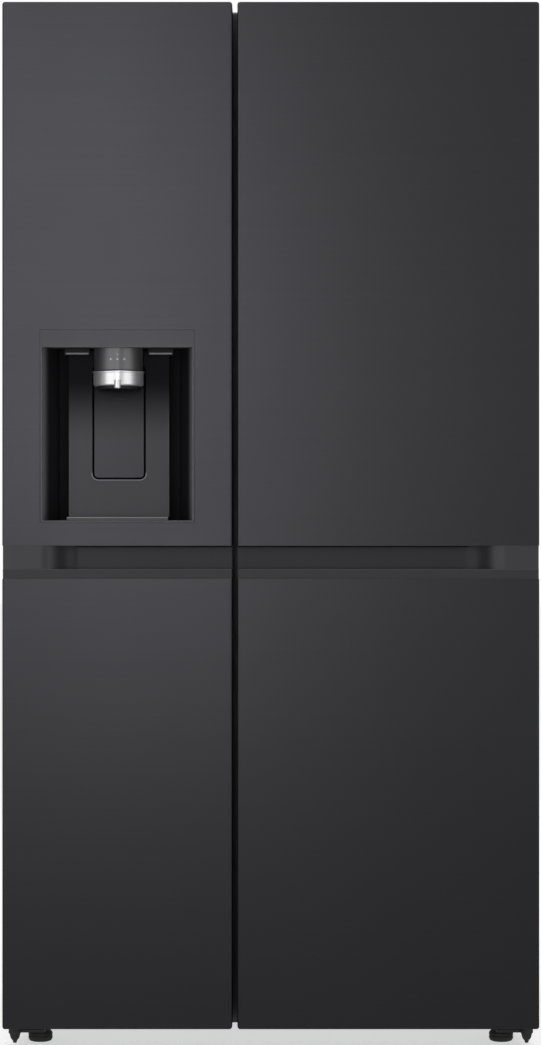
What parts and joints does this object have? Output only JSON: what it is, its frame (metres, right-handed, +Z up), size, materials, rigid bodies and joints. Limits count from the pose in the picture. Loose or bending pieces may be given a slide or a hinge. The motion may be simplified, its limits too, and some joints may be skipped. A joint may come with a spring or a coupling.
{
  "type": "side-by-side refrigerator freezer",
  "caption": "Tall side-by-side refrigerator freezer with pocket handles across the doors, an ice and water dispenser in the freezer door, shelves, drawers and bins.",
  "frame": {"origin": "on the floor, under the centre of the bounding box", "axes": "+X to the right seen from the front, +Y to the back, +Z up; the doors face -Y"},
  "size_m": [0.913, 0.735, 1.79],
  "materials": {
    "black_steel": "matte black, fine horizontal brushing",
    "case_paint": "dark grey textured paint",
    "zinc_sheet": "zinc-coated sheet",
    "insulation": "rigid insulation foam",
    "liner_white": "smooth white moulding",
    "shelf_glass": "tempered glass with a trim",
    "clear_plastic": "clear moulding",
    "dark_plastic": "black moulding",
    "hinge_steel": "plain steel",
    "gasket_rubber": "soft dark gasket",
    "roller_plastic": "hard grey moulding",
    "compressor_paint": "black enamel",
    "fin_aluminium": "plain fins and tube",
    "fan_plastic": "dark grey moulding",
    "valve_plastic": "white moulding",
    "dispenser_black": "smooth black moulding",
    "dispenser_grey": "dark metallic paint",
    "bright_trim": "polished trim"
  },
  "bodies": {
    "cabinet": {"side_panel_left": "case_paint", "side_panel_right": "case_paint", "top_panel": "case_paint", "back_panel": "zinc_sheet", "base_plate": "zinc_sheet", "cabinet_foam": "insulation", "freezer_liner": "liner_white", "fridge_liner": "liner_white", "front_frame": "case_paint", "top_covers": "dark_plastic", "top_hinge_left": "hinge_steel", "top_hinge_right": "hinge_steel", "bottom_hinge_left": "dark_plastic", "bottom_hinge_right": "dark_plastic", "rear_axles": "hinge_steel", "machine_cover": "dark_plastic", "compressor": "compressor_paint", "condenser": "compressor_paint", "fan_motor": "fan_plastic", "water_valve": "valve_plastic", "evaporator": "fin_aluminium", "evaporator_cover": "liner_white", "freezer_shelves": "shelf_glass", "fridge_shelves": "shelf_glass", "crisper_cover": "shelf_glass", "air_duct": "liner_white"},
    "freezer_door": {"freezer_door_upper_panel": "black_steel", "freezer_door_lower_panel": "black_steel", "freezer_door_caps": "dark_plastic", "freezer_door_foam": "insulation", "freezer_door_liner": "liner_white", "freezer_door_gasket": "gasket_rubber", "freezer_door_handle": "dispenser_grey", "freezer_door_bins": "clear_plastic", "ice_maker": "liner_white", "dispenser_bezel": "black_steel", "dispenser_housing": "dispenser_black", "dispenser_backplate": "dispenser_grey", "dispenser_head": "dispenser_grey", "dispenser_ring": "bright_trim", "dispenser_nozzle": "bright_trim"},
    "fridge_door": {"fridge_door_upper_panel": "black_steel", "fridge_door_lower_panel": "black_steel", "fridge_door_caps": "dark_plastic", "fridge_door_foam": "insulation", "fridge_door_liner": "liner_white", "fridge_door_gasket": "gasket_rubber", "fridge_door_handle": "dispenser_grey", "fridge_door_bins": "clear_plastic"},
    "dispenser_paddle": {"dispenser_paddle": "dispenser_grey"},
    "dispenser_tray": {"dispenser_tray": "hinge_steel"},
    "foot_left": {"foot_left": "dark_plastic"},
    "foot_right": {"foot_right": "dark_plastic"},
    "rear_roller_left": {"rear_roller_left": "roller_plastic"},
    "rear_roller_right": {"rear_roller_right": "roller_plastic"},
    "condenser_fan": {"condenser_fan": "fan_plastic"},
    "freezer_drawer_lower": {"freezer_drawer_lower": "clear_plastic"},
    "freezer_drawer_upper": {"freezer_drawer_upper": "clear_plastic"},
    "crisper_lower": {"crisper_lower": "clear_plastic"},
    "crisper_upper": {"crisper_upper": "clear_plastic"}
  },
  "joints": [
    {"name": "freezer_door_hinge", "type": "hinge", "parent": "cabinet", "child": "freezer_door", "pos_m": [-0.4405, -0.2945, 0.9], "axis": [0, 0, -1], "range_deg": [0, 120]},
    {"name": "fridge_door_hinge", "type": "hinge", "parent": "cabinet", "child": "fridge_door", "pos_m": [0.4405, -0.2945, 0.9], "axis": [0, 0, 1], "range_deg": [0, 120]},
    {"name": "dispenser_paddle_hinge", "type": "hinge", "parent": "freezer_door", "child": "dispenser_paddle", "pos_m": [-0.261, -0.296, 1.147], "axis": [1, 0, 0], "range_deg": [0, 5], "stiffness_Nm_per_rad": 0.3, "springref_deg": -11.46},
    {"name": "dispenser_tray_slide", "type": "slide", "parent": "freezer_door", "child": "dispenser_tray", "axis": [0, -1, 0], "range_m": [0, 0.06]},
    {"name": "freezer_drawer_lower_slide", "type": "slide", "parent": "cabinet", "child": "freezer_drawer_lower", "axis": [0, -1, 0], "range_m": [0, 0.07]},
    {"name": "freezer_drawer_upper_slide", "type": "slide", "parent": "cabinet", "child": "freezer_drawer_upper", "axis": [0, -1, 0], "range_m": [0, 0.07]},
    {"name": "crisper_lower_slide", "type": "slide", "parent": "cabinet", "child": "crisper_lower", "axis": [0, -1, 0], "range_m": [0, 0.07]},
    {"name": "crisper_upper_slide", "type": "slide", "parent": "cabinet", "child": "crisper_upper", "axis": [0, -1, 0], "range_m": [0, 0.07]},
    {"name": "foot_left_screw", "type": "slide", "parent": "cabinet", "child": "foot_left", "axis": [0, 0, -1], "range_m": [0, 0.015]},
    {"name": "foot_right_screw", "type": "slide", "parent": "cabinet", "child": "foot_right", "axis": [0, 0, -1], "range_m": [0, 0.015]},
    {"name": "rear_roller_left_spin", "type": "hinge", "parent": "cabinet", "child": "rear_roller_left", "pos_m": [-0.394, 0.3075, 0.022], "axis": [1, 0, 0], "continuous": true},
    {"name": "rear_roller_right_spin", "type": "hinge", "parent": "cabinet", "child": "rear_roller_right", "pos_m": [0.394, 0.3075, 0.022], "axis": [1, 0, 0], "continuous": true},
    {"name": "condenser_fan_spin", "type": "hinge", "parent": "cabinet", "child": "condenser_fan", "pos_m": [-0.00115, 0.2605, 0.143], "axis": [1, 0, 0], "continuous": true}
  ]
}
